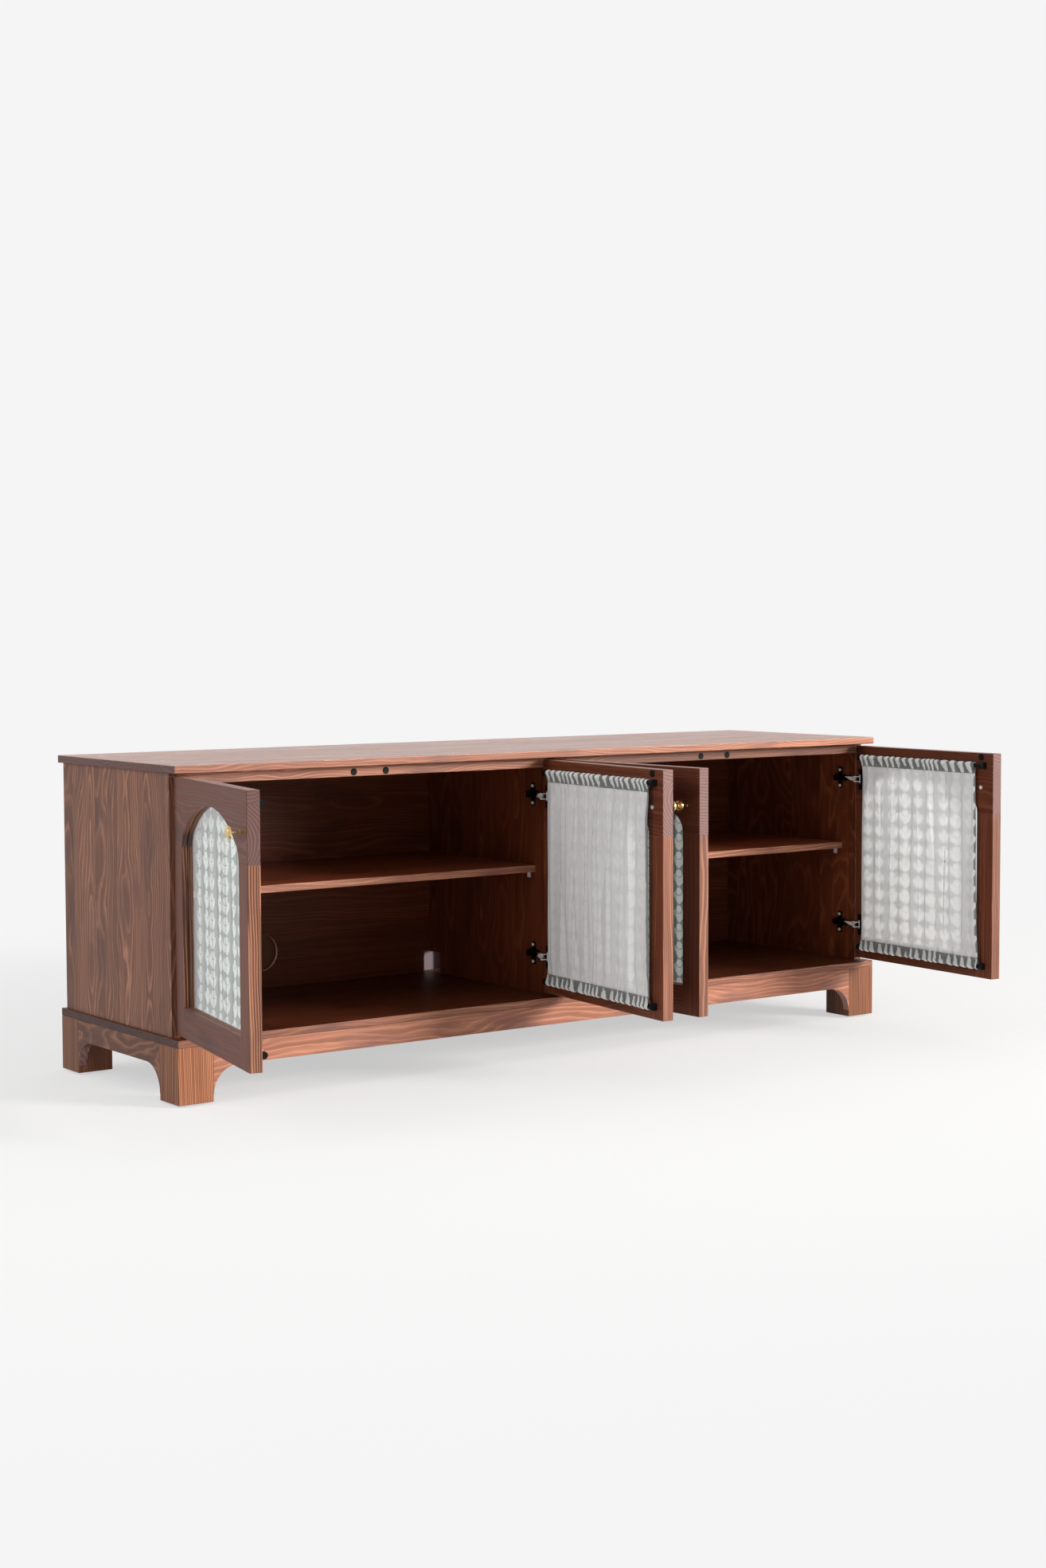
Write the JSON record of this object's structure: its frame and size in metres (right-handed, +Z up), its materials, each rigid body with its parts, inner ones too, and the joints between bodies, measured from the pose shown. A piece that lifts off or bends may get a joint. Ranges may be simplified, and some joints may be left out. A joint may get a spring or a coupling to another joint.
{
  "type": "media console",
  "caption": "Low wooden media console on bracket feet, with arched glass doors, gathered curtains, shelves and cable holes.",
  "frame": {"origin": "on the floor, under the middle of the top board's footprint", "axes": "+X along the width, to the right seen from the front; +Y towards the back; +Z up"},
  "size_m": [1.9005, 0.9214, 0.644],
  "materials": {
    "stained_pine": "red-brown stain, satin",
    "stained_back": "red-brown stain, satin",
    "dowel_wood": "bare",
    "glass": "clear",
    "printed_cotton": "block-printed cotton",
    "brass": "polished",
    "black_metal": "satin black",
    "nickel": "nickel plate",
    "dark_nickel": "dark nickel plate",
    "black_plastic": "matt"
  },
  "bodies": {
    "carcass": {"top_board": "stained_pine", "bottom_board": "stained_pine", "side_panels": "stained_pine", "centre_divider": "stained_pine", "front_top_rails": "stained_pine", "shelves": "stained_pine", "aprons": "stained_pine", "legs": "stained_pine", "back_panel": "stained_back", "carcass_dowels": "dowel_wood", "shelf_pins": "nickel", "leg_glides": "black_plastic", "catch_magnets": "black_metal", "hinge_plates": "dark_nickel", "hinge_arms": "nickel", "hinge_screws": "nickel"},
    "door1": {"door1_top_rail": "stained_pine", "door1_stiles": "stained_pine", "door1_bottom_rail": "stained_pine", "door1_glass": "glass", "door1_curtain": "printed_cotton", "door1_curtain_rods": "black_metal", "door1_rod_brackets": "black_metal", "door1_knob": "brass", "door1_hinge_cups": "dark_nickel", "door1_strike": "black_metal"},
    "door1_links": {"door1_hinge_links": "nickel"},
    "door2": {"door2_top_rail": "stained_pine", "door2_stiles": "stained_pine", "door2_bottom_rail": "stained_pine", "door2_glass": "glass", "door2_curtain": "printed_cotton", "door2_curtain_rods": "black_metal", "door2_rod_brackets": "black_metal", "door2_knob": "brass", "door2_hinge_cups": "dark_nickel", "door2_strike": "black_metal"},
    "door2_links": {"door2_hinge_links": "nickel"},
    "door3": {"door3_top_rail": "stained_pine", "door3_stiles": "stained_pine", "door3_bottom_rail": "stained_pine", "door3_glass": "glass", "door3_curtain": "printed_cotton", "door3_curtain_rods": "black_metal", "door3_rod_brackets": "black_metal", "door3_knob": "brass", "door3_hinge_cups": "dark_nickel", "door3_strike": "black_metal"},
    "door3_links": {"door3_hinge_links": "nickel"},
    "door4": {"door4_top_rail": "stained_pine", "door4_stiles": "stained_pine", "door4_bottom_rail": "stained_pine", "door4_glass": "glass", "door4_curtain": "printed_cotton", "door4_curtain_rods": "black_metal", "door4_rod_brackets": "black_metal", "door4_knob": "brass", "door4_hinge_cups": "dark_nickel", "door4_strike": "black_metal"},
    "door4_links": {"door4_hinge_links": "nickel"}
  },
  "joints": [
    {"name": "door1_swing", "type": "hinge", "parent": "carcass", "child": "door1", "pos_m": [-0.885, -0.236, 0.38], "axis": [0, 0, -1], "range_deg": [-101.9, 3.1]},
    {"name": "door2_swing", "type": "hinge", "parent": "carcass", "child": "door2", "pos_m": [-0.011, -0.236, 0.38], "axis": [0, 0, 1], "range_deg": [-84.63, 0.27]},
    {"name": "door3_swing", "type": "hinge", "parent": "carcass", "child": "door3", "pos_m": [0.011, -0.236, 0.38], "axis": [0, 0, -1], "range_deg": [-88.14, 0.27]},
    {"name": "door4_swing", "type": "hinge", "parent": "carcass", "child": "door4", "pos_m": [0.885, -0.236, 0.38], "axis": [0, 0, 1], "range_deg": [-87, 18]},
    {"name": "door1_link_turn", "type": "hinge", "parent": "door1", "child": "door1_links", "pos_m": [-0.86992, -0.24153, 0.38], "axis": [0, 0, 1], "range_deg": [-127.39, 3.88]},
    {"name": "door2_link_turn", "type": "hinge", "parent": "door2", "child": "door2_links", "pos_m": [-0.02705, -0.2368, 0.38], "axis": [0, 0, -1], "range_deg": [-105.8, 0.35]},
    {"name": "door3_link_turn", "type": "hinge", "parent": "door3", "child": "door3_links", "pos_m": [0.02697, -0.23778, 0.38], "axis": [0, 0, 1], "range_deg": [-110.18, 0.34]},
    {"name": "door4_link_turn", "type": "hinge", "parent": "door4", "child": "door4_links", "pos_m": [0.869, -0.23746, 0.38], "axis": [0, 0, -1], "range_deg": [-108.76, 22.51]}
  ],
  "couplings": [
    {"joint": "door1_link_turn", "follows": "door1_swing", "ratio": 1.25},
    {"joint": "door2_link_turn", "follows": "door2_swing", "ratio": 1.25},
    {"joint": "door3_link_turn", "follows": "door3_swing", "ratio": 1.25},
    {"joint": "door4_link_turn", "follows": "door4_swing", "ratio": 1.25}
  ]
}
